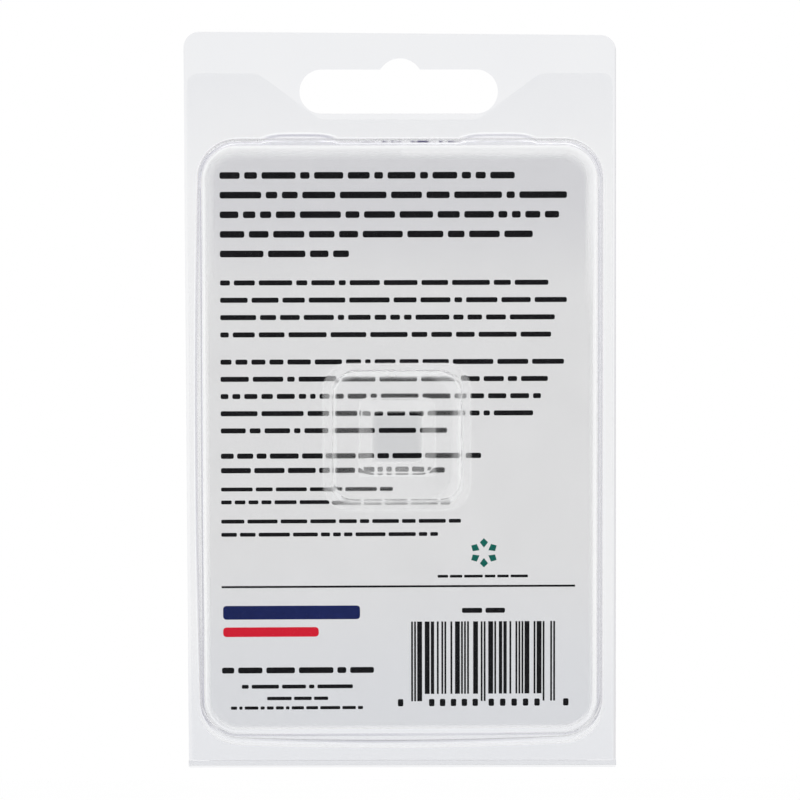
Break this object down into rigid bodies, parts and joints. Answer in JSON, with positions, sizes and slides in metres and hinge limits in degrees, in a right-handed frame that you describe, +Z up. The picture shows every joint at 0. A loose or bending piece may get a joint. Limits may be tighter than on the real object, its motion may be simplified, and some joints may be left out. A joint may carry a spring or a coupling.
{
  "type": "magnetic hook in a hang pack",
  "caption": "Clear folded hang pack with a printed back card and a swivelling magnetic hook in its front bubble.",
  "frame": {"origin": "crown of the hang hole, midway between the two plies of the flange", "axes": "+Z up along the pack, +Y out of the pack's front towards the bubble's face, +X across the pack; the printed back faces -Y"},
  "size_m": [0.094, 0.0491, 0.1602],
  "materials": {
    "clear_sheet": "clear, glossy, thermoformed",
    "printed_card": "coated light grey back with plain bars",
    "soft_liner": "matt black",
    "plated_cup": "bright nickel plate",
    "plated_magnet": "satin nickel plate",
    "black_resin": "cast black resin",
    "rivet_steel": "satin",
    "slip_plastic": "natural white, matt",
    "yoke_steel": "bright nickel plate",
    "bright_steel": "bright nickel plate"
  },
  "bodies": {
    "pack": {"front_shell": "clear_sheet", "fold_hinge": "clear_sheet", "insert_card": "printed_card", "liner": "soft_liner", "magnet_cup": "plated_cup", "ring_magnet": "plated_magnet", "potting_ring": "black_resin", "swivel_rivet": "rivet_steel", "slip_washer": "slip_plastic"},
    "rear_cover": {"rear_shell": "clear_sheet"},
    "swivel": {"swivel_yoke": "yoke_steel", "pivot_pin": "rivet_steel"},
    "swing_hook": {"hook": "bright_steel"}
  },
  "joints": [
    {"name": "cover_fold", "type": "hinge", "parent": "pack", "child": "rear_cover", "pos_m": [0, 0, -0.15435], "axis": [1, 0, 0], "range_deg": [0, 180]},
    {"name": "hook_spin", "type": "hinge", "parent": "pack", "child": "swivel", "pos_m": [-0.0009, 0, -0.08217], "axis": [0, 1, 0], "continuous": true},
    {"name": "hook_swing", "type": "hinge", "parent": "swivel", "child": "swing_hook", "pos_m": [-0.0009, 0.01765, -0.08217], "axis": [1, 0, 0], "range_deg": [0, 180]}
  ]
}
